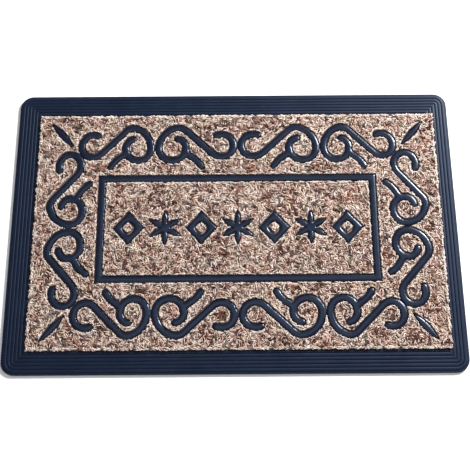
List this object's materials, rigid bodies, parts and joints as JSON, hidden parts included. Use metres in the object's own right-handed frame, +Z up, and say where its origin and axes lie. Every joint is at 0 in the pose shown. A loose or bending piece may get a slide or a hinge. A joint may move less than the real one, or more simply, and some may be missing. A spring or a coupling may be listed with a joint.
{
  "type": "door mat",
  "caption": "Rectangular door mat: rubber base with a reeded border, a carpet of short pile, and rubber ribs set in it as scrolls round a frame of ornaments.",
  "frame": {"origin": "on the floor under the middle of the mat's outline", "axes": "+X along the mat's length to the right, +Y across its width to the back edge, +Z up out of the pile"},
  "size_m": [0.6, 0.4, 0.0085],
  "materials": {
    "base_rubber": "satin moulded rubber, blue-black, with fine moulded reeds",
    "rib_rubber": "smooth moulded rubber, blue-black, a little glossier on the crowns",
    "scrim": "matt woven backing cloth",
    "pile": "coarse pile of mixed cream, tan, rust and brown yarns in a basket weave"
  },
  "bodies": {
    "root": {"rubber_backing": "base_rubber", "reeded_border": "base_rubber", "carpet_scrim": "scrim", "pile_carpet": "pile", "panel_frame": "rib_rubber", "scroll_back_1": "rib_rubber", "scroll_back_2": "rib_rubber", "scroll_back_3": "rib_rubber", "scroll_back_4": "rib_rubber", "scroll_front_1": "rib_rubber", "scroll_front_2": "rib_rubber", "scroll_front_3": "rib_rubber", "scroll_front_4": "rib_rubber", "scroll_left_1": "rib_rubber", "scroll_left_2": "rib_rubber", "scroll_right_1": "rib_rubber", "scroll_right_2": "rib_rubber", "corner_dart_back_left": "rib_rubber", "corner_dart_back_right": "rib_rubber", "corner_dart_front_left": "rib_rubber", "corner_dart_front_right": "rib_rubber", "ornament_1_lozenge": "rib_rubber", "ornament_2_flower": "rib_rubber", "ornament_3_lozenge": "rib_rubber", "ornament_4_flower": "rib_rubber", "ornament_5_lozenge": "rib_rubber", "ornament_6_flower": "rib_rubber", "ornament_7_lozenge": "rib_rubber"}
  },
  "joints": []
}
